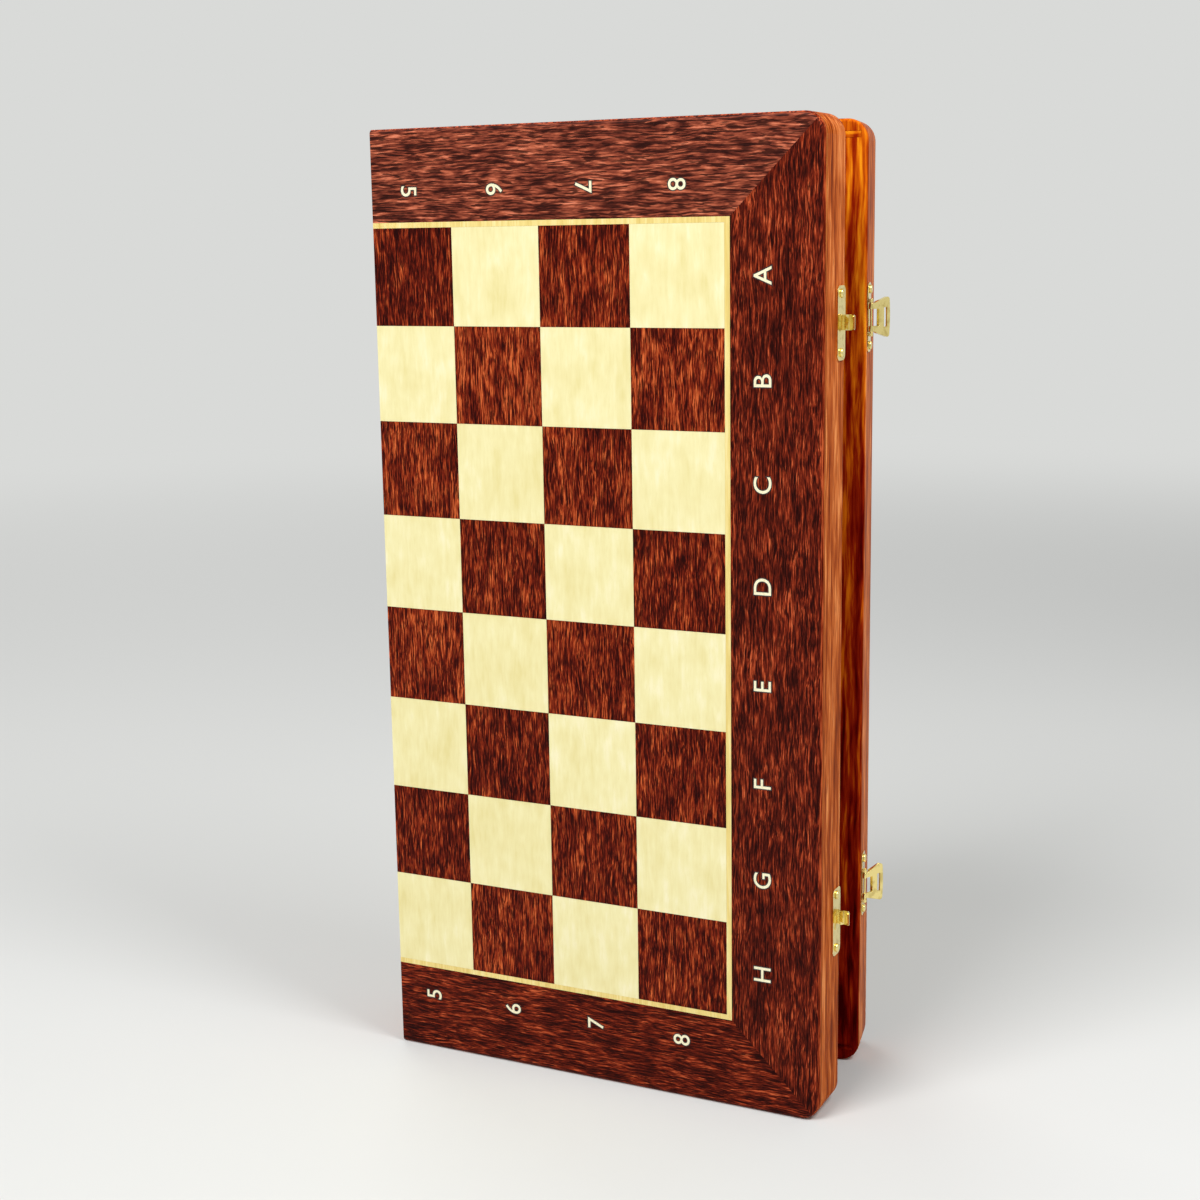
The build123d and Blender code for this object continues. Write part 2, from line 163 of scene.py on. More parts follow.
@dataclass(frozen=True)
class HalfFrame:
    """Frame of a wooden half: across to the clasp side, along the squares, out of the face.

    Attributes:
        side: The half.
        origin: Corner at the seam on the mating face, in metres.
        across: Direction from the seam to the clasp side.
        along: Direction from the near end to the far end.
        outward: Direction out of the playing face.
    """

    side: Side
    origin: Vector
    across: Vector
    along: Vector
    outward: Vector

    @property
    def body(self) -> str:
        """Name of the body that the half's pieces ride on."""
        return f"{self.side.value}_half"

    @property
    def turn(self) -> Matrix:
        """Rotation from the half's axes to the row frame's."""
        return Matrix((self.across, self.along, self.outward)).transposed()

    def point(self, across: float, along: float, outward: float) -> Vector:
        """Give a point of the half, in millimetres, as a place in the row frame in metres."""
        return self.origin + self.turn @ Vector((across, along, outward)) * MM

    def coordinates(self, tree: bpy.types.NodeTree, grain: Grain) -> bpy.types.Node:
        """Add the half's own coordinates in millimetres, with y along the grain.

        Args:
            tree: Tree of the material.
            grain: Way that the grain runs.

        Returns:
            Node whose output is the vector.
        """
        place = add_node(tree, "ShaderNodeTexCoord")
        local = add_node(
            tree,
            "ShaderNodeMapping",
            {
                "Vector": place.outputs["Object"],
                "Location": self.origin,
                "Rotation": self.turn.to_euler(),
                "Scale": (MM, MM, MM),
            },
            vector_type="TEXTURE",
        )
        if grain is Grain.ALONG:
            return local
        quarter = (0.0, 0.0, math.radians(90))
        return add_node(tree, "ShaderNodeMapping", {"Vector": local, "Rotation": quarter})


@dataclass(frozen=True)
class WoodFinish:
    """One timber, and how it is stained and sealed. Lengths are in millimetres.

    Attributes:
        name: Name of the material.
        tones: Colour of the wood from its darkest to its brightest streak, with its place.
        streak: Width and length of the fine streaks.
        figure: Width and length of the broad bands of colour.
        cloud: Width and length of the patches that lighten or darken the bands.
        shares: How much streaks, bands and patches each add to the tone.
        pore: Width and length of the open pores.
        pore_share: How much of the colour a pore takes away.
        pore_edge: Noise at which a pore begins and at which it is full.
        wander: How far the grain sways from side to side.
        sway: Length over which it sways.
        sheet_pitch: Size of the squares that are cut from different sheets, or 0.
        sheet_spread: How much the tone differs from one sheet to the next.
        roughness: Roughness of the sealed wood.
        gloss_level: Specular level, 0.5 for bare varnish and less for a dull sealed surface.
        relief: Depth of the grain that stays open.
        relief_strength: How much of that depth the light shows.
        gloss_swing: How much rougher a pale streak is than a dark one.
    """

    name: str
    tones: tuple[tuple[float, str], ...]
    streak: tuple[float, float]
    figure: tuple[float, float]
    cloud: tuple[float, float]
    shares: tuple[float, float, float]
    pore: tuple[float, float]
    pore_share: float
    pore_edge: tuple[float, float]
    wander: float
    sway: float
    roughness: float
    gloss_level: float
    relief: float
    sheet_pitch: float = 0.0
    sheet_spread: float = 0.0
    relief_strength: float = 0.6
    gloss_swing: float = 0.15

    def noise(
        self,
        tree: bpy.types.NodeTree,
        grain_vector: bpy.types.Node,
        size: tuple[float, float],
        detail: Detail,
    ) -> bpy.types.Node:
        """Add a noise whose blots are drawn out along the grain.

        Args:
            tree: Tree of the material.
            grain_vector: Coordinates in millimetres with y along the grain.
            size: Width and length of a blot.
            detail: How fine it is.

        Returns:
            Noise node, about 0.5 on average.
        """
        width, length = size
        scaled = add_node(
            tree,
            "ShaderNodeVectorMath",
            {0: grain_vector, 1: (1 / width, 1 / length, 1 / width)},
            operation="MULTIPLY",
        )
        return add_node(
            tree,
            "ShaderNodeTexNoise",
            {
                "Vector": scaled,
                "Scale": 1.0,
                "Detail": detail.value,
                "Roughness": NOISE_ROUGHNESS,
            },
        )

    def sheets(
        self, tree: bpy.types.NodeTree, vector: bpy.types.Node, seam_loss: float
    ) -> tuple[bpy.types.Node, bpy.types.Node]:
        """Move the coordinates of every square to its own piece of the sheet.

        Args:
            tree: Tree of the material.
            vector: Coordinates in millimetres.
            seam_loss: What the saw took from the squares at the seam.

        Returns:
            The moved coordinates and a number from 0 to 1 for each square.
        """
        pitch = self.sheet_pitch
        cell = add_node(
            tree,
            "ShaderNodeVectorMath",
            {0: vector, 1: (1 / pitch, 1 / pitch, 0.0), 2: (seam_loss / pitch, 0.0, 0.0)},
            operation="MULTIPLY_ADD",
        )
        number = add_node(tree, "ShaderNodeVectorMath", {0: cell}, operation="FLOOR")
        chance = add_node(tree, "ShaderNodeTexWhiteNoise", {"Vector": number})
        sheet_size = 600.0
        moved = add_node(
            tree,
            "ShaderNodeVectorMath",
            {0: chance.outputs["Color"], 1: (sheet_size,) * 3, 2: vector},
            operation="MULTIPLY_ADD",
        )
        return moved, chance

    def ramp(
        self, tree: bpy.types.NodeTree, tone: bpy.types.Node, tones: tuple[tuple[float, str], ...]
    ) -> bpy.types.Node:
        """Add the colours of a row of tones.

        Args:
            tree: Tree of the material.
            tone: Number that picks the colour.
            tones: Places and colours, from the darkest to the brightest.

        Returns:
            Node that gives the colour.
        """
        colours = add_node(tree, "ShaderNodeValToRGB", {"Fac": tone})
        stops = colours.color_ramp.elements
        stops[0].position, stops[1].position = tones[0][0], tones[-1][0]
        stops[0].color, stops[1].color = linear(tones[0][1]), linear(tones[-1][1])
        for position, hex_colour in tones[1:-1]:
            stops.new(position).color = linear(hex_colour)
        return colours

    def tint(
        self,
        tree: bpy.types.NodeTree,
        half: HalfFrame,
        streaks: bpy.types.Node,
        colour: bpy.types.Node,
    ) -> bpy.types.Node:
        """Give the colour of the stained wood. Here it is the wood's own."""
        return colour

    def material(self, half: HalfFrame, grain: Grain, seam_loss: float = 0.0) -> bpy.types.Material:
        """Make the material for the pieces of a half with this grain.

        Args:
            half: Half whose frame the grain follows.
            grain: Way that the grain runs.
            seam_loss: What the saw took from the squares at the seam, in millimetres.

        Returns:
            The node material.
        """
        made = blank_material(f"{self.name}_{half.side.value}_{grain.value}")
        tree = made.node_tree
        vector = half.coordinates(tree, grain)
        chance = None
        if self.sheet_pitch:
            vector, chance = self.sheets(tree, vector, seam_loss)
        sway = (self.sway / SWAY_SLENDERNESS, self.sway)
        swaying = self.noise(tree, vector, sway, Detail.SOFT)
        centred = add_node(
            tree,
            "ShaderNodeVectorMath",
            {0: swaying.outputs["Color"], 1: (NOISE_MEAN,) * 3},
            operation="SUBTRACT",
        )
        # The noise spans 1, so the grain moves by the wander to each side.
        span = 2 * self.wander
        grain_vector = add_node(
            tree,
            "ShaderNodeVectorMath",
            {0: centred, 1: (span, 0.0, span), 2: vector},
            operation="MULTIPLY_ADD",
        )
        streaks = self.noise(tree, grain_vector, self.streak, Detail.FINE)
        bands = self.noise(tree, grain_vector, self.figure, Detail.PLAIN)
        clouds = self.noise(tree, grain_vector, self.cloud, Detail.PLAIN)
        tone: bpy.types.Node | float = 0.0
        for pattern, share in zip((streaks, bands, clouds), self.shares):
            tone = add_node(
                tree,
                "ShaderNodeMath",
                {0: pattern, 1: share, 2: tone},
                operation="MULTIPLY_ADD",
            )
        if chance is not None:
            off = add_node(
                tree,
                "ShaderNodeMath",
                {0: chance.outputs["Value"], 1: self.sheet_spread, 2: -self.sheet_spread / 2},
                operation="MULTIPLY_ADD",
            )
            tone = add_node(tree, "ShaderNodeMath", {0: tone, 1: off}, operation="ADD")
        colours = self.ramp(tree, tone, self.tones)
        pores = self.noise(tree, grain_vector, self.pore, Detail.SOFT)
        begin, full = self.pore_edge
        open_pore = add_node(
            tree, "ShaderNodeMapRange", {"Value": pores, "From Min": begin, "From Max": full}
        )
        pore_depth = add_node(
            tree, "ShaderNodeMath", {0: open_pore, 1: self.pore_share}, operation="MULTIPLY"
        )
        coloured = add_node(
            tree,
            "ShaderNodeMix",
            {"Factor": pore_depth, "A": colours, "B": linear(self.tones[0][1])},
            data_type="RGBA",
        )
        coloured = self.tint(tree, half, streaks, coloured)
        height = add_node(
            tree, "ShaderNodeMath", {0: streaks, 1: open_pore}, operation="SUBTRACT"
        )
        bump = add_node(
            tree,
            "ShaderNodeBump",
            {"Height": height, "Strength": self.relief_strength, "Distance": self.relief * MM},
        )
        gloss = add_node(
            tree,
            "ShaderNodeMath",
            {
                0: streaks,
                1: self.gloss_swing,
                2: self.roughness - self.gloss_swing * NOISE_MEAN,
            },
            operation="MULTIPLY_ADD",
        )
        shader = add_node(
            tree,
            "ShaderNodeBsdfPrincipled",
            {
                "Base Color": coloured,
                "Roughness": gloss,
                "IOR": VARNISH_IOR,
                "Specular IOR Level": self.gloss_level,
                "Normal": bump,
            },
        )
        add_node(tree, "ShaderNodeOutputMaterial", {"Surface": shader})
        return made


@dataclass(frozen=True)
class RailFinish(WoodFinish):
    """Timber of the rails, with a darker stain and painted shade over the mating face.

    Attributes:
        stain_and_shade_tones: Colours of the mating face, from darkest to brightest, with
            their places: a darker stain with painted shade of the gap between the halves.
        stain_and_shade_height: How far that colour reaches up from the mating face. It fades
            over the upper part of that.
        flame: Width and length of the flames in the mating face.
        painted_light_length: Length of the half over which the painted light at the near end
            gives way to the painted shade at the far end.
        painted_light_drift: How much brighter the tone is at the near end and at the far end,
            as painted light and painted shade.
        stain_and_shade_full: Share of the height below which that colour is full.
    """

    stain_and_shade_tones: tuple[tuple[float, str], ...] = ()
    stain_and_shade_height: float = 1.0
    flame: tuple[float, float] = (4.5, 60.0)
    painted_light_length: float = 384.0
    painted_light_drift: tuple[float, float] = (0.13, -0.08)
    stain_and_shade_full: float = 0.4

    def tint(
        self,
        tree: bpy.types.NodeTree,
        half: HalfFrame,
        streaks: bpy.types.Node,
        colour: bpy.types.Node,
    ) -> bpy.types.Node:
        """Darken the mating face with stain and painted shade, with painted light at the near end.

        Args:
            tree: Tree of the material.
            half: Half whose frame the grain follows.
            streaks: Noise of the fine streaks.
            colour: Colour of the rail's other faces.

        Returns:
            Node that gives the colour.
        """
        place = half.coordinates(tree, Grain.ALONG)
        flames = self.noise(tree, place, self.flame, Detail.PLAIN)
        parts = add_node(tree, "ShaderNodeSeparateXYZ", {"Vector": place})
        # Painted light and shade: the tone is raised at the near end and lowered at the far end.
        near, far = self.painted_light_drift
        tone = add_node(
            tree,
            "ShaderNodeMapRange",
            {
                "Value": parts.outputs["Y"],
                "From Min": 0.0,
                "From Max": self.painted_light_length,
                "To Min": near,
                "To Max": far,
            },
        )
        even_share = 0.5
        for pattern in (streaks, flames):
            tone = add_node(
                tree,
                "ShaderNodeMath",
                {0: pattern, 1: even_share, 2: tone},
                operation="MULTIPLY_ADD",
            )
        # The mating face's colour: a darker stain together with painted shade of the gap.
        stain_and_shade = self.ramp(tree, tone, self.stain_and_shade_tones)
        share = add_node(
            tree,
            "ShaderNodeMapRange",
            {
                "Value": parts.outputs["Z"],
                "From Min": self.stain_and_shade_full * self.stain_and_shade_height,
                "From Max": self.stain_and_shade_height,
                "To Min": 1.0,
                "To Max": 0.0,
            },
        )
        return add_node(
            tree, "ShaderNodeMix", {"Factor": share, "A": colour, "B": stain_and_shade}, data_type="RGBA"
        )


@dataclass(frozen=True)
class PanelFinish(WoodFinish):
    """Plywood whose rounded edge takes the stain of the veneer above it.

    Attributes:
        stain: Colours of the stained edge, from darkest to brightest, with their places.
        stain_foot: Where the stain begins below the playing face.
        joint: Colour of the glue line to the rail.
        joint_height: Height of the glue line.
        foot: From the mating face to the foot of the panel.
        soft: Height over which one colour gives way to the next.
        hair: Sliver above the foot that keeps the glue off the inner face.
    """

    stain: tuple[tuple[float, str], ...] = ()
    stain_foot: float = 22.4
    joint: str = "#3a1206"
    joint_height: float = 0.25
    foot: float = 21.3
    soft: float = 0.15
    hair: float = 0.02

    def tint(
        self,
        tree: bpy.types.NodeTree,
        half: HalfFrame,
        streaks: bpy.types.Node,
        colour: bpy.types.Node,
    ) -> bpy.types.Node:
        """Stain the rounded edge and draw the glue line, which stops short of the inner face.

        Args:
            tree: Tree of the material.
            half: Half whose frame the grain follows.
            streaks: Noise of the fine streaks.
            colour: Colour of the bare plywood.

        Returns:
            Node that gives the colour.
        """
        place = half.coordinates(tree, Grain.ALONG)
        height = add_node(tree, "ShaderNodeSeparateXYZ", {"Vector": place}).outputs["Z"]
        stain_top = self.stain_foot + 2 * self.soft
        stained = add_node(
            tree,
            "ShaderNodeMapRange",
            {"Value": height, "From Min": self.stain_foot, "From Max": stain_top},
        )
        edge = self.ramp(tree, streaks, self.stain)
        mixed = add_node(
            tree, "ShaderNodeMix", {"Factor": stained, "A": colour, "B": edge}, data_type="RGBA"
        )
        line_top = self.foot + self.joint_height
        below = add_node(
            tree,
            "ShaderNodeMapRange",
            {
                "Value": height,
                "From Min": line_top,
                "From Max": line_top + self.soft,
                "To Min": 1.0,
                "To Max": 0.0,
            },
        )
        above = add_node(
            tree,
            "ShaderNodeMapRange",
            {
                "Value": height,
                "From Min": self.foot + self.hair,
                "From Max": self.foot + 2 * self.hair,
            },
        )
        glue = add_node(tree, "ShaderNodeMath", {0: below, 1: above}, operation="MULTIPLY")
        return add_node(
            tree,
            "ShaderNodeMix",
            {"Factor": glue, "A": mixed, "B": linear(self.joint)},
            data_type="RGBA",
        )


# Mahogany veneer, sliced, stained a dark purple brown and sealed with satin lacquer. The stain
# fills the pores and leaves the late wood orange, so the eye sees short broken streaks. Its real
# pores are 0.2 mm wide, too fine to show, and are drawn twice as coarse.
STAINED_MAHOGANY_VENEER = WoodFinish(
    name="stained_mahogany_veneer",
    tones=(
        (0.40, "#240403"),
        (0.46, "#4c1006"),
        (0.51, "#76200e"),
        (0.56, "#a23f1c"),
        (0.63, "#dc6c38"),
    ),
    streak=(0.5, 6.5),
    figure=(1.6, 22.0),
    cloud=(9.0, 18.0),
    shares=(0.54, 0.28, 0.18),
    pore=(0.42, 7.0),
    pore_share=0.85,
    pore_edge=(0.535, 0.575),
    wander=1.4,
    sway=24.0,
    roughness=0.42,
    gloss_level=0.05,
    relief=0.05,
    sheet_pitch=40.0,
    sheet_spread=0.05,
)

# The border is cut from longer strips of the same veneer, one strip to a side.
BORDER_VENEER = replace(
    STAINED_MAHOGANY_VENEER,
    name="stained_mahogany_border",
    tones=(
        (0.39, "#200403"),
        (0.46, "#431007"),
        (0.52, "#6a1e0e"),
        (0.57, "#95361a"),
        (0.64, "#d06238"),
    ),
    sheet_pitch=0.0,
    sheet_spread=0.0,
)

# The strip at the top has a coarser grain, and its paler tones are painted reflection of the
# lacquer's sheen.
TOP_VENEER_PAINTED_REFLECTION = replace(
    BORDER_VENEER,
    name="stained_mahogany_top",
    tones=(
        (0.39, "#2c100c"),
        (0.46, "#5c261b"),
        (0.52, "#88412e"),
        (0.57, "#b25c40"),
        (0.64, "#e28464"),
    ),
    streak=(0.8, 8.0),
    pore=(0.7, 8.0),
)

# Sycamore veneer, sliced and bleached, under satin lacquer: cream with a faint silky grain.
# Its real pores are 0.05 mm wide, too fine to show, and are drawn as flecks of 0.7 mm.
BLEACHED_SYCAMORE_VENEER = WoodFinish(
    name="bleached_sycamore_veneer",
    tones=((0.34, "#e7da98"), (0.45, "#ede2a6"), (0.55, "#f2e9b2"), (0.66, "#f8f0c6")),
    streak=(1.4, 11.0),
    figure=(4.0, 18.0),
    cloud=(11.0, 16.0),
    shares=(0.26, 0.32, 0.42),
    pore=(0.7, 3.4),
    pore_share=0.22,
    pore_edge=(0.58, 0.70),
    wander=1.5,
    sway=40.0,
    roughness=0.45,
    gloss_level=0.25,
    relief=0.02,
    sheet_pitch=40.0,
    sheet_spread=0.06,
)

# Maple stringing, a sawn line glued in between the veneers: pale yellow, almost without grain.
# Its pores are as fine as the sycamore's, and are drawn as flecks of 0.5 mm.
MAPLE_STRINGING = WoodFinish(
    name="maple_stringing",
    tones=((0.34, "#d9ba62"), (0.50, "#ecd484"), (0.66, "#f7e8a8")),
    streak=(0.8, 18.0),
    figure=(3.0, 40.0),
    cloud=(6.0, 50.0),
    shares=(0.4, 0.3, 0.3),
    pore=(0.5, 3.0),
    pore_share=0.15,
    pore_edge=(0.58, 0.70),
    wander=0.3,
    sway=40.0,
    roughness=0.45,
    gloss_level=0.25,
    relief=0.02,
)

# Beech rails, planed, stained orange brown and sealed dull: long soft streaks, darker where
# the grain took more stain, and almost no shine, so the colour stays deep at a grazing view.
# Its real pores are 0.1 mm wide, too fine to show, and are drawn as flecks 1 mm wide.
STAINED_BEECH = RailFinish(
    name="stained_beech",
    tones=(
        (0.39, "#742c0a"),
        (0.47, "#a64a16"),
        (0.53, "#c9682c"),
        (0.61, "#ec9252"),
    ),
    streak=(1.7, 26.0),
    figure=(4.5, 70.0),
    cloud=(14.0, 45.0),
    shares=(0.44, 0.32, 0.24),
    pore=(1.0, 9.0),
    pore_share=0.4,
    pore_edge=(0.58, 0.66),
    wander=2.2,
    sway=45.0,
    roughness=0.38,
    gloss_level=0.01,
    relief=0.03,
    # Colours of the mating face: a darker stain together with painted shade of the gap between the
    # halves.
    stain_and_shade_tones=(
        (0.36, "#3c0000"),
        (0.45, "#700a02"),
        (0.53, "#962205"),
        (0.62, "#d4620a"),
        (0.72, "#f89a1a"),
    ),
)

# Plywood panel, sanded, stained like the rails and sealed dull: a short, even, quiet grain.
# Its real pores are too fine to show, and are drawn as flecks of 0.5 mm.
STAINED_PLYWOOD = PanelFinish(
    name="stained_plywood",
    tones=((0.34, "#8a380c"), (0.50, "#b85a1a"), (0.66, "#dc8438")),
    streak=(0.8, 14.0),
    figure=(6.0, 60.0),
    cloud=(16.0, 60.0),
    shares=(0.35, 0.35, 0.30),
    pore=(0.5, 4.0),
    pore_share=0.3,
    pore_edge=(0.56, 0.70),
    wander=2.0,
    sway=70.0,
    roughness=0.35,
    gloss_level=0.01,
    relief=0.02,
    stain=((0.36, "#3c0d06"), (0.50, "#7d2712"), (0.64, "#c65c30")),
)


@dataclass(frozen=True)
class BrassFinish:
    """Pressed sheet metal, brass plated and polished. Lengths are in millimetres.

    Attributes:
        name: Name of the material.
        colour: Colour of the clean metal.
        tarnish_and_reflection_colour: Colour of the darker spots, partly metal whose polish
            has gone and partly painted reflection of the dark things round it.
        roughness: Roughness of the polished face.
        ripple: Size of the waves that the press leaves.
        scratch: Width and length of the polishing lines.
        tarnish_and_reflection_edge: Noise at which the darker spots begin and at which they
            are full.
        tarnish_and_reflection_share: How much of the colour a full dark spot takes.
        scratch_share: Depth of a polishing line beside that of a wave.
        relief: Depth of the waves.
        relief_strength: How much of that depth the light shows.
        gloss_swing: How much rougher the metal is on the crest of a wave.
    """

    name: str
    colour: str
    tarnish_and_reflection_colour: str
    roughness: float
    ripple: float
    scratch: tuple[float, float]
    tarnish_and_reflection_edge: tuple[float, float] = (0.50, 0.66)
    tarnish_and_reflection_share: float = 0.45
    scratch_share: float = 0.12
    relief: float = 0.08
    relief_strength: float = 0.35
    gloss_swing: float = 0.2

    def material(self) -> bpy.types.Material:
        """Make the material of the metal.

        Returns:
            The node material.
        """
        made = blank_material(self.name)
        tree = made.node_tree
        place = add_node(tree, "ShaderNodeTexCoord")
        ripple = add_node(
            tree,
            "ShaderNodeTexNoise",
            {
                "Vector": place.outputs["Object"],
                "Scale": 1 / (self.ripple * MM),
                "Detail": Detail.FINE.value,
            },
        )
        width, length = self.scratch
        brushed = add_node(
            tree,
            "ShaderNodeVectorMath",
            {0: place.outputs["Object"], 1: (1 / (width * MM),) * 2 + (1 / (length * MM),)},
            operation="MULTIPLY",
        )
        scratches = add_node(
            tree,
            "ShaderNodeTexNoise",
            {"Vector": brushed, "Scale": 1.0, "Detail": Detail.PLAIN.value},
        )
        # Darker spots along the press's waves: partly dulled polish, partly painted reflection.
        begin, full = self.tarnish_and_reflection_edge
        tarnish_and_reflection_spots = add_node(
            tree,
            "ShaderNodeMapRange",
            {"Value": ripple, "From Min": begin, "From Max": full, "To Max": self.tarnish_and_reflection_share},
        )
        coloured = add_node(
            tree,
            "ShaderNodeMix",
            {"Factor": tarnish_and_reflection_spots, "A": linear(self.colour), "B": linear(self.tarnish_and_reflection_colour)},
            data_type="RGBA",
        )
        gloss = add_node(
            tree,
            "ShaderNodeMath",
            {0: ripple, 1: self.gloss_swing, 2: self.roughness - self.gloss_swing * NOISE_MEAN},
            operation="MULTIPLY_ADD",
        )
        height = add_node(
            tree,
            "ShaderNodeMath",
            {0: scratches, 1: self.scratch_share, 2: ripple},
            operation="MULTIPLY_ADD",
        )
        bump = add_node(
            tree,
            "ShaderNodeBump",
            {"Height": height, "Strength": self.relief_strength, "Distance": self.relief * MM},
        )
        shader = add_node(
            tree,
            "ShaderNodeBsdfPrincipled",
            {"Base Color": coloured, "Metallic": 1.0, "Roughness": gloss, "Normal": bump},
        )
        add_node(tree, "ShaderNodeOutputMaterial", {"Surface": shader})
        return made


# Sheet steel pressed to shape, brass plated and polished: a pale, faintly green gold. Its real
# polishing lines are 0.03 mm wide, too fine to show, and are drawn 0.15 mm wide.
PLATED_BRASS = BrassFinish(
    name="plated_brass",
    colour="#f4e094",
    # Darker spots of this colour are partly dulled polish and partly painted reflection.
    tarnish_and_reflection_colour="#b0923a",
    roughness=0.16,
    ripple=3.0,
    scratch=(0.15, 2.0),
)


@dataclass(frozen=True)
class InkFinish:
    """Printing ink under a thin lacquer. Lengths are in millimetres.

    Attributes:
        name: Name of the material.
        full: Colour of the full ink.
        thin: Colour where the wood shows through.
        speckle: Size of the spots of thin ink.
        thin_edge: Noise at which the ink begins to thin and at which it is thinnest.
        thin_share: How much of the colour shows through there.
        roughness: Roughness of the dry ink.
        lacquer: Weight of the clear coat over it.
        lacquer_roughness: Roughness of the clear coat.
        relief: Depth of the pinholes.
        relief_strength: How much of that depth the light shows.
    """

    name: str
    full: str
    thin: str
    speckle: float
    thin_edge: tuple[float, float] = (0.5, 0.8)
    thin_share: float = 0.6
    roughness: float = 0.45
    lacquer: float = 0.2
    lacquer_roughness: float = 0.3
    relief: float = 0.02
    relief_strength: float = 0.3

    def material(self) -> bpy.types.Material:
        """Make the material of the ink.

        Returns:
            The node material.
        """
        made = blank_material(self.name)
        tree = made.node_tree
        place = add_node(tree, "ShaderNodeTexCoord")
        spots = add_node(
            tree,
            "ShaderNodeTexNoise",
            {
                "Vector": place.outputs["Object"],
                "Scale": 1 / (self.speckle * MM),
                "Detail": Detail.PLAIN.value,
            },
        )
        begin, thinnest = self.thin_edge
        share = add_node(
            tree,
            "ShaderNodeMapRange",
            {"Value": spots, "From Min": begin, "From Max": thinnest, "To Max": self.thin_share},
        )
        coloured = add_node(
            tree,
            "ShaderNodeMix",
            {"Factor": share, "A": linear(self.full), "B": linear(self.thin)},
            data_type="RGBA",
        )
        bump = add_node(
            tree,
            "ShaderNodeBump",
            {"Height": spots, "Strength": self.relief_strength, "Distance": self.relief * MM},
        )
        shader = add_node(
            tree,
            "ShaderNodeBsdfPrincipled",
            {
                "Base Color": coloured,
                "Roughness": self.roughness,
                "IOR": VARNISH_IOR,
                "Coat Weight": self.lacquer,
                "Coat Roughness": self.lacquer_roughness,
                "Normal": bump,
            },
        )
        add_node(tree, "ShaderNodeOutputMaterial", {"Surface": shader})
        return made


# Cream printing ink, screened on: dense, matt, with faint pinholes. Real ones are 0.2 mm
# across, too fine to show, and are drawn at 0.8 mm.
CREAM_INK = InkFinish(name="cream_ink", full="#f6efcb", thin="#e3cf95", speckle=0.8)

# Black ink, screened on first and a little larger, so a dark edge shows round each letter.
BLACK_INK = InkFinish(name="black_ink", full="#160b09", thin="#2a1410", speckle=0.8)


@dataclass
class Lettering:
    """Letters and digits of the board's coordinates. Lengths are in millimetres.

    Attributes:
        half: Frame of the half that carries them.
        level: Height of the playing face above the mating face.
        width: Width of the half, from the seam to the clasp edge.
        length: Length of the half.
        square: Size of a square.
        border: Width of the border.
        seam_loss: What the saw took from the squares at the seam.
        letters: The files, from the near end to the far end.
        digits: The ranks, from the seam to the clasp side.
        cap_height: Height of a capital.
        letter_inset: From the clasp edge to the middle of a letter.
        digit_inset: From an end to the middle of a digit.
        weight: How much the strokes are thickened on each side.
        edge: How far the dark ink shows round the cream ink.
        film: Thickness of one layer of ink.
        curve_steps: Straight pieces in each curve of an outline.
    """

    half: HalfFrame
    level: float
    width: float
    length: float
    square: float
    border: float
    seam_loss: float
    letters: str
    digits: str
    cap_height: float = 7.3
    letter_inset: float = 24.0
    digit_inset: float = 25.3
    weight: float = 0.03
    edge: float = 0.4
    film: float = 0.02
    curve_steps: int = 6

    def glyph(
        self, sign: str, middle: Vector, turn: float, swell: float, layer: int
    ) -> bpy.types.Object:
        """Draw one sign as text and place it on the face.

        Args:
            sign: The letter or digit.
            middle: Its place across and along the half.
            turn: Angle of its foot line from the half's across direction, in degrees.
            swell: How much the outline is moved outwards.
            layer: Number of ink layers under it.

        Returns:
            The text object.
        """
        text = bpy.data.curves.new("sign", "FONT")
        text.body = sign
        text.align_x = "CENTER"
        text.align_y = "CENTER"
        text.size = self.cap_height / CAPITAL_SHARE * MM
        text.offset = swell * MM
        text.extrude = self.film / 2 * MM
        text.resolution_u = self.curve_steps
        drawn = add_object("sign", text)
        height = self.level + (layer + 0.5) * self.film
        spot = self.half.point(middle.x, middle.y, height)
        spin = Matrix.Rotation(math.radians(turn), 4, "Z")
        drawn.matrix_world = Matrix.Translation(spot) @ self.half.turn.to_4x4() @ spin
        return drawn

    def layout(self) -> list[tuple[str, str, Vector, float]]:
        """Work out where every sign stands.

        Returns:
            Each sign with its group before it, and its place and turn after it.
        """
        quarter = 90.0
        placed = []
        across = self.width - self.letter_inset
        for row, letter in enumerate(self.letters):
            along = self.border + (row + 0.5) * self.square
            placed.append(("letters", letter, Vector((across, along)), quarter))
        for column, digit in enumerate(self.digits):
            across = (column + 0.5) * self.square - self.seam_loss
            near = Vector((across, self.digit_inset))
            far = Vector((across, self.length - self.digit_inset))
            placed.append(("digits", digit, near, quarter))
            placed.append(("digits", digit, far, -quarter))
        return placed

    def build(self) -> list[bpy.types.Object]:
        """Print both inks for the letters and for the digits.

        Returns:
            The four printed pieces.
        """
        made = []
        inks = (
            ("outline", self.weight + self.edge, BLACK_INK),
            ("fill", self.weight, CREAM_INK),
        )
        for group in ("letters", "digits"):
            for layer, (part, swell, ink) in enumerate(inks):
                signs = [
                    self.glyph(sign, middle, turn, swell, layer)
                    for kind, sign, middle, turn in self.layout()
                    if kind == group
                ]
                name = f"{self.half.side.value}_{group}_{part}"
                piece = join_as_mesh(signs, name)
                piece.data.materials.append(ink.material())
                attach(piece, self.half.body)
                made.append(piece)
        return made


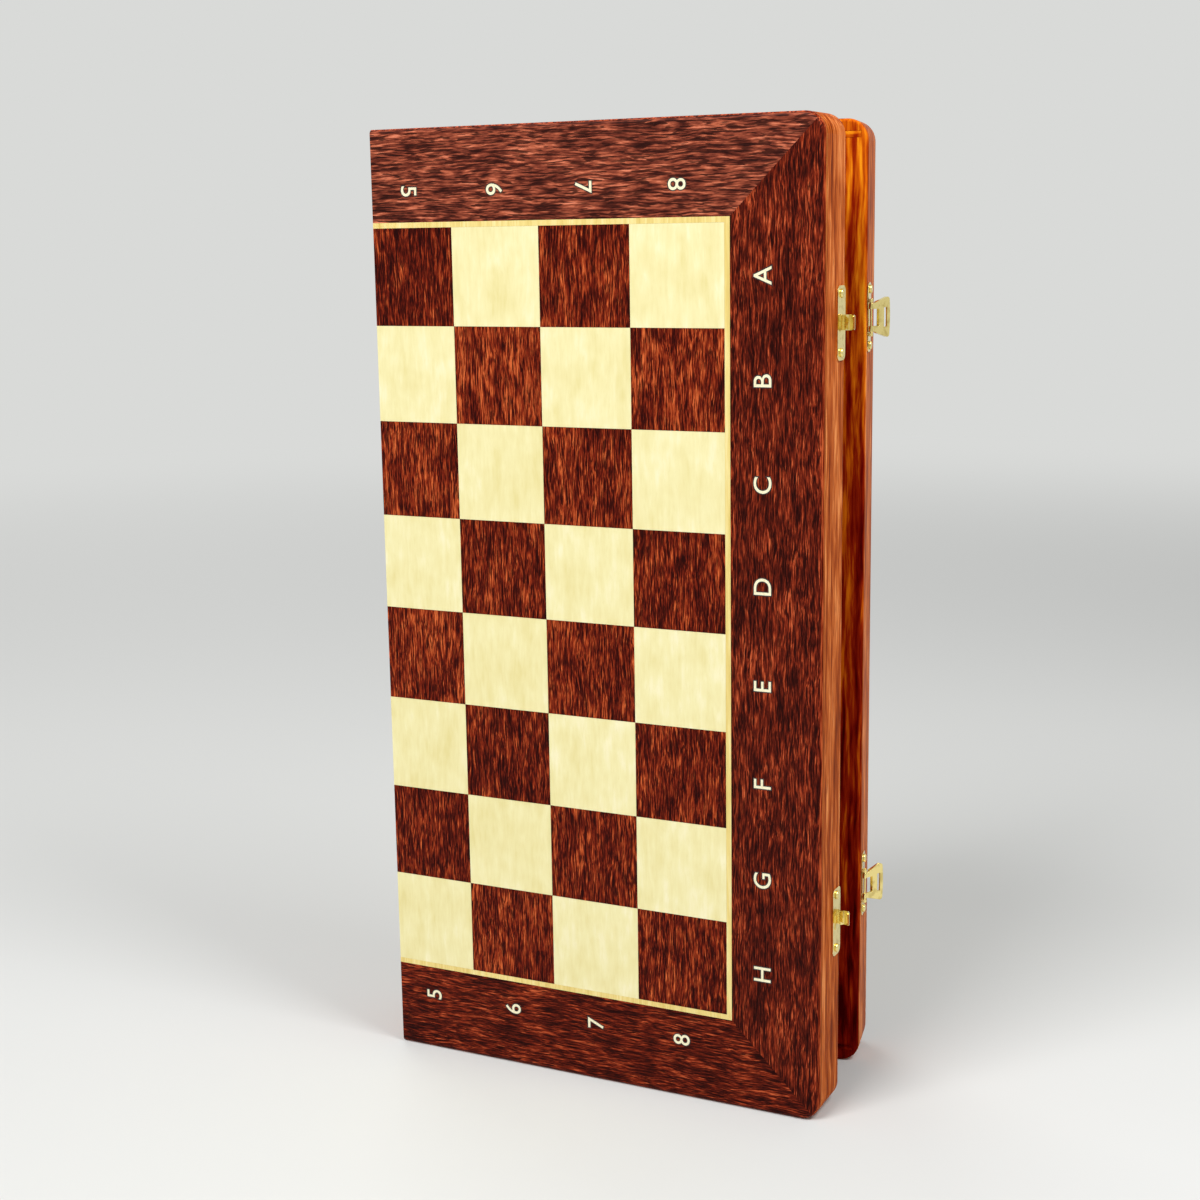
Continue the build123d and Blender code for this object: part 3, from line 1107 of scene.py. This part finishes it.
def join_as_mesh(drawn: list[bpy.types.Object], name: str) -> bpy.types.Object:
    """Turn text objects into one mesh and delete them.

    Args:
        drawn: The text objects, in place.
        name: Name of the new piece.

    Returns:
        The mesh object, with its place in its vertices.
    """
    bpy.context.view_layer.update()
    graph = bpy.context.evaluated_depsgraph_get()
    points: list[Vector] = []
    faces: list[list[int]] = []
    for each in drawn:
        shape = bpy.data.meshes.new_from_object(each.evaluated_get(graph))
        start = len(points)
        points.extend(each.matrix_world @ v.co for v in shape.vertices)
        faces.extend([start + i for i in f.vertices] for f in shape.polygons)
        bpy.data.meshes.remove(shape)
    for each in drawn:
        bpy.data.objects.remove(each)
    mesh = bpy.data.meshes.new(name)
    mesh.from_pydata(points, [], faces)
    return add_object(name, mesh)


def dress(piece: bpy.types.Object, material: bpy.types.Material) -> None:
    """Give a piece its material in a single slot, in place of any it had.

    Args:
        piece: The piece.
        material: Its material.
    """
    piece.data.materials.clear()
    piece.data.materials.append(material)


def soften(piece: bpy.types.Object, radius: float) -> None:
    """Take the sharpness off a piece's edges with modifiers, without touching its mesh.

    Args:
        piece: The piece.
        radius: Width of the softened edge, in millimetres.
    """
    same_point = 0.001 * MM
    same_plane = math.radians(0.5)
    sharp = math.radians(35)
    facets = 2
    weld = piece.modifiers.new("weld", "WELD")
    weld.merge_threshold = same_point
    flat = piece.modifiers.new("flat", "DECIMATE")
    flat.decimate_type = "DISSOLVE"
    flat.angle_limit = same_plane
    soft = piece.modifiers.new("soft", "BEVEL")
    soft.width = radius * MM
    soft.segments = facets
    soft.limit_method = "ANGLE"
    soft.angle_limit = sharp
    soft.harden_normals = True


@dataclass
class WoodenHalf:
    """One tray of the case with its board. Lengths are in millimetres.

    Attributes:
        half: Frame of the half.
        square: Size of a square.
        border: Width of the border.
        seam_loss: What the saw took from the squares at the seam.
        letters: The files, from the near end to the far end.
        digits: The ranks, from the seam to the clasp side.
        arris: Softened edge of the rails.
        pieces: Pieces built so far.
    """

    half: HalfFrame
    letters: str
    digits: str
    square: float = 40.0
    border: float = 40.0
    seam_loss: float = 2.5
    arris: float = 0.2
    pieces: list[bpy.types.Object] = field(default_factory=list)

    def node(self, name: str) -> bpy.types.Object:
        """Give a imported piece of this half, and note it as built.

        Args:
            name: Name of the piece after the half's own.

        Returns:
            The piece.
        """
        piece = frame["nodes"][f"{self.half.side.value}_{name}"]
        self.pieces.append(piece)
        return piece

    def dress_rails(self) -> None:
        """Stain and seal the four rails, with the grain along each."""
        along = STAINED_BEECH.material(self.half, Grain.ALONG)
        across = STAINED_BEECH.material(self.half, Grain.ACROSS)
        for name, material in (
            ("clasp_rail", along),
            ("hinge_rail", along),
            ("bottom_rail", across),
            ("top_rail", across),
        ):
            rail = self.node(name)
            dress(rail, material)
            soften(rail, self.arris)

    def dress_panel(self) -> None:
        """Stain and seal the plywood panel."""
        board = self.node("panel")
        dress(board, STAINED_PLYWOOD.material(self.half, Grain.ALONG))

    def dress_board(self) -> None:
        """Veneer the border, the line and the squares."""
        along, across, loss = Grain.ALONG, Grain.ACROSS, self.seam_loss
        for name, finish, grain, seam_loss, slot in (
            ("bottom_border", BORDER_VENEER, across, 0.0, "dark_veneer"),
            # The top strip's paler tones are painted reflection.
            ("top_border", TOP_VENEER_PAINTED_REFLECTION, across, 0.0, "dark_veneer"),
            ("side_border", BORDER_VENEER, along, 0.0, "dark_veneer"),
            ("dark_squares", STAINED_MAHOGANY_VENEER, along, loss, "dark_veneer"),
            ("light_squares", BLEACHED_SYCAMORE_VENEER, along, loss, "light_veneer"),
            ("stringing", MAPLE_STRINGING, along, 0.0, "stringing"),
        ):
            dress(self.node(name), finish.material(self.half, grain, seam_loss))

    def print_signs(self) -> None:
        """Print the coordinates on the border."""
        panel_low, panel_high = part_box("front_panel")
        mating_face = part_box("front_clasp_rail")[1].y
        playing_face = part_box("front_side_border")[0].y
        lettering = Lettering(
            half=self.half,
            level=(mating_face - playing_face) / MM,
            width=(panel_high.x - panel_low.x) / MM,
            length=(panel_high.z - panel_low.z) / MM,
            square=self.square,
            border=self.border,
            seam_loss=self.seam_loss,
            letters=self.letters,
            digits=self.digits,
        )
        self.pieces.extend(lettering.build())

    def build(self) -> list[bpy.types.Object]:
        """Dress the half and print its signs.

        Returns:
            The half's pieces.
        """
        self.dress_rails()
        self.dress_panel()
        self.dress_board()
        self.print_signs()
        return self.pieces


@dataclass
class BrassFittings:
    """Hinges, clasps, nails and screws. Lengths are in millimetres.

    Attributes:
        edge: Softened edge of pressed sheet.
        words: Words that mark a brass piece's name.
    """

    edge: float = 0.12
    words: tuple[str, ...] = (
        "hinge_front_leaf",
        "hinge_back_leaf",
        "pin",
        "catch",
        "hasp",
        "nails",
        "screws",
    )

    def build(self) -> list[bpy.types.Object]:
        """Plate every brass piece.

        Returns:
            The brass pieces.
        """
        metal = PLATED_BRASS.material()
        made = []
        for name, piece in frame["nodes"].items():
            if any(word in name for word in self.words):
                dress(piece, metal)
                soften(piece, self.edge)
                made.append(piece)
        return made


@dataclass(frozen=True)
class Lamp:
    """One square soft light.

    Attributes:
        name: Name of the light.
        place: Where it hangs, in metres.
        size: Length of its side, in metres.
        power: Power in watts.
    """

    name: str
    place: tuple[float, float, float]
    size: float
    power: float


LAMPS = (
    Lamp("key_light", (-0.35, -1.25, 1.75), 0.9, 30.0),
    Lamp("side_light", (0.65, -0.15, 0.95), 0.4, 5.5),
    Lamp("rim_light", (-1.3, 1.3, 1.5), 1.2, 10.0),
)


@dataclass
class Studio:
    """Pale floor, soft light and the camera. Lengths are in metres.

    Attributes:
        floor_radius: Radius of the floor.
        floor_steps: Corners of the floor's rim.
        fade: Distances at which the floor begins to fade and is one with the backdrop.
        pale: Colour of the floor and the backdrop.
        backdrop_light: Strength of the backdrop, where 1 shows its colour as written.
        white: Colour of the even light of the room.
        room_light: Strength of that light.
        aim: Point that the lamps face.
        lens: Focal length, in millimetres.
        sensor: Width of the film, in millimetres.
        nearest: Nearest distance that the camera shows.
        eye: Place of the camera.
        right: Camera's direction to the right of the picture.
        down: Camera's direction down the picture.
        ahead: Camera's direction into the picture.
    """

    floor_radius: float = 6.0
    floor_steps: int = 96
    fade: tuple[float, float] = (0.6, 2.6)
    pale: str = "#d9dad8"
    backdrop_light: float = 1.0
    white: str = "#ffffff"
    room_light: float = 0.34
    aim: tuple[float, float, float] = (0.0, 0.0, 0.2)
    lens: float = 56.81
    sensor: float = 36.0
    nearest: float = 0.01
    eye: tuple[float, float, float] = (0.33793, -0.69180, 0.35625)
    right: tuple[float, float, float] = (0.89852, 0.43865, -0.01582)
    down: tuple[float, float, float] = (0.06925, -0.17724, -0.98173)
    ahead: tuple[float, float, float] = (-0.43344, 0.88100, -0.18963)

    def add_camera(self) -> None:
        """Place the camera where the photograph was taken."""
        camera = bpy.data.cameras.new("camera")
        camera.lens = self.lens
        camera.sensor_width = self.sensor
        camera.clip_start = self.nearest
        holder = add_object("camera", camera)
        turn = Matrix((self.right, -Vector(self.down), -Vector(self.ahead))).transposed()
        holder.matrix_world = Matrix.Translation(self.eye) @ turn.to_4x4()
        bpy.context.scene.camera = holder

    def add_floor(self) -> None:
        """Lay a round floor that fades into the backdrop."""
        steps = range(self.floor_steps)
        angles = (2 * math.pi * step / self.floor_steps for step in steps)
        ring = [Vector((math.cos(a), math.sin(a), 0.0)) * self.floor_radius for a in angles]
        mesh = bpy.data.meshes.new("floor")
        mesh.from_pydata(ring, [], [list(steps)])
        floor = add_object("floor", mesh)
        # Painted board, rolled on matt: an even pale ground that keeps the object's shadow.
        material = blank_material("painted_floor")
        tree = material.node_tree
        place = add_node(tree, "ShaderNodeTexCoord")
        distance = add_node(
            tree, "ShaderNodeVectorMath", {0: place.outputs["Object"]}, operation="LENGTH"
        )
        begin, end = self.fade
        fade = add_node(
            tree,
            "ShaderNodeMapRange",
            {"Value": distance, "From Min": begin, "From Max": end},
            interpolation_type="SMOOTHERSTEP",
        )
        paint = add_node(tree, "ShaderNodeBsdfDiffuse", {"Color": linear(self.pale)})
        glow = add_node(
            tree,
            "ShaderNodeEmission",
            {"Color": linear(self.pale), "Strength": self.backdrop_light},
        )
        mixed = add_node(tree, "ShaderNodeMixShader", {0: fade, 1: paint, 2: glow})
        add_node(tree, "ShaderNodeOutputMaterial", {"Surface": mixed})
        mesh.materials.append(material)

    def add_world(self) -> None:
        """Light the room evenly and show the pale backdrop behind the object."""
        world = bpy.data.worlds.new("room")
        bpy.context.scene.world = world
        world.use_nodes = True
        tree = world.node_tree
        tree.nodes.clear()
        rays = add_node(tree, "ShaderNodeLightPath").outputs
        seen = rays["Is Camera Ray"]
        for kind in ("Is Glossy Ray", "Is Transmission Ray"):
            seen = add_node(
                tree, "ShaderNodeMath", {0: seen, 1: rays[kind]}, operation="MAXIMUM"
            )
        room = add_node(
            tree,
            "ShaderNodeBackground",
            {"Color": linear(self.white), "Strength": self.room_light},
        )
        backdrop = add_node(
            tree,
            "ShaderNodeBackground",
            {"Color": linear(self.pale), "Strength": self.backdrop_light},
        )
        mixed = add_node(tree, "ShaderNodeMixShader", {0: seen, 1: room, 2: backdrop})
        add_node(tree, "ShaderNodeOutputWorld", {"Surface": mixed})

    def hang(self, lamp: Lamp) -> None:
        """Hang one light so that it faces the object.

        Args:
            lamp: The light.
        """
        light = bpy.data.lights.new(lamp.name, "AREA")
        light.shape = "SQUARE"
        light.size = lamp.size
        light.energy = lamp.power
        holder = add_object(lamp.name, light)
        holder.location = lamp.place
        holder.rotation_mode = "QUATERNION"
        towards = Vector(self.aim) - Vector(lamp.place)
        holder.rotation_quaternion = towards.to_track_quat("-Z", "Y")

    def build(self) -> None:
        """Set up the whole studio."""
        bpy.context.scene.view_settings.view_transform = "Standard"
        self.add_camera()
        self.add_floor()
        self.add_world()
        for lamp in LAMPS:
            self.hang(lamp)


def half_frames() -> tuple[HalfFrame, HalfFrame]:
    """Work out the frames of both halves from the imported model.

    Returns:
        The front half's frame and the back half's.
    """
    joint = next(j for j in frame["joints"] if j["name"] == "case_hinge")
    hinge = Vector(joint["pos_m"])
    ajar = -math.radians(joint["range_deg"][0])
    low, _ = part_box("front_panel")
    _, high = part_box("front_clasp_rail")
    front = HalfFrame(
        Side.FRONT,
        Vector((low.x, high.y, low.z)),
        Vector((1, 0, 0)),
        Vector((0, 0, 1)),
        Vector((0, -1, 0)),
    )
    gap = low.x - hinge.x
    across = Vector((math.cos(ajar), math.sin(ajar), 0))
    outward = Vector((-math.sin(ajar), math.cos(ajar), 0))
    foot = Vector((hinge.x, hinge.y, high.z)) + gap * (across + outward)
    back = HalfFrame(Side.BACK, foot, across, Vector((0, 0, -1)), outward)
    return front, back


def main() -> None:
    """Build each sub-assembly in turn and report its pieces."""
    logging.basicConfig(level=logging.INFO, format="%(name)s: %(message)s")
    front, back = half_frames()
    Studio().build()
    for part in (
        WoodenHalf(front, letters="HGFEDCBA", digits="5678"),
        WoodenHalf(back, letters="ABCDEFGH", digits="4321"),
        BrassFittings(),
    ):
        for piece in part.build():
            log.info("%s: %s", type(part).__name__, piece.name)


if __name__ == "__main__":
    main()
